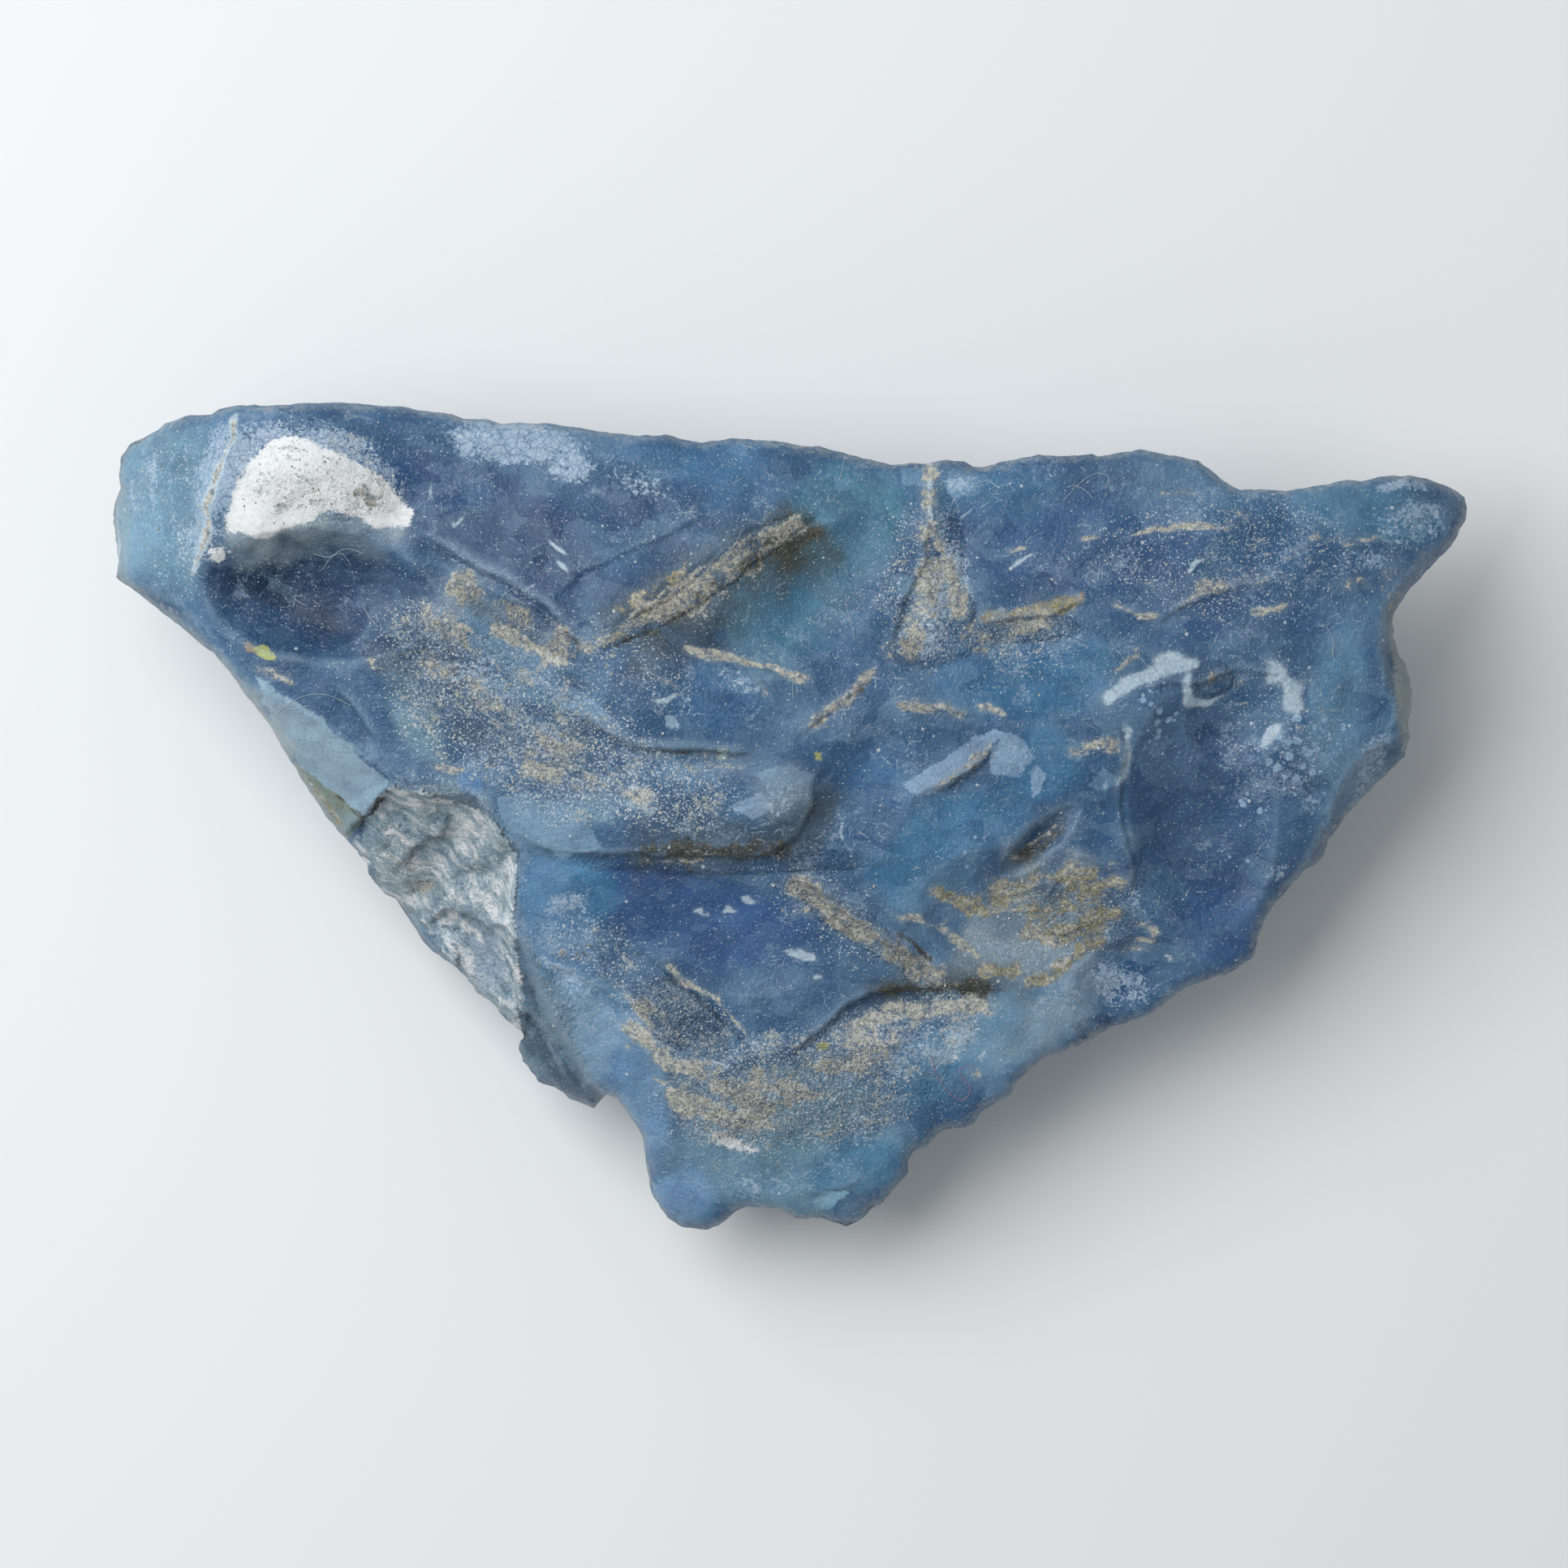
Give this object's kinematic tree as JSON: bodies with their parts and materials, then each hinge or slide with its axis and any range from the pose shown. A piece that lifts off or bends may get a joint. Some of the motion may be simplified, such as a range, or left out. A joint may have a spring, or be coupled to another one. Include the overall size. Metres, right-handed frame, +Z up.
{
  "type": "rough blue opal",
  "caption": "Flat, roughly triangular broken piece of blue common opal with stepped fracture ledges, lying on a small flat spot.",
  "frame": {"origin": "centre of the bounding box in plan, on the floor plane under the stone", "axes": "+X along the longest extent, from the blunt end with the chalk patch towards the horn; +Y towards the long straight edge, away from the tongue; +Z up"},
  "size_m": [0.0624, 0.038, 0.0149],
  "materials": {
    "opal": "waxy, slightly translucent blue stone, dusty, with chalk white, tan and ochre patches"
  },
  "bodies": {
    "root": {"opal": "opal"}
  },
  "joints": []
}
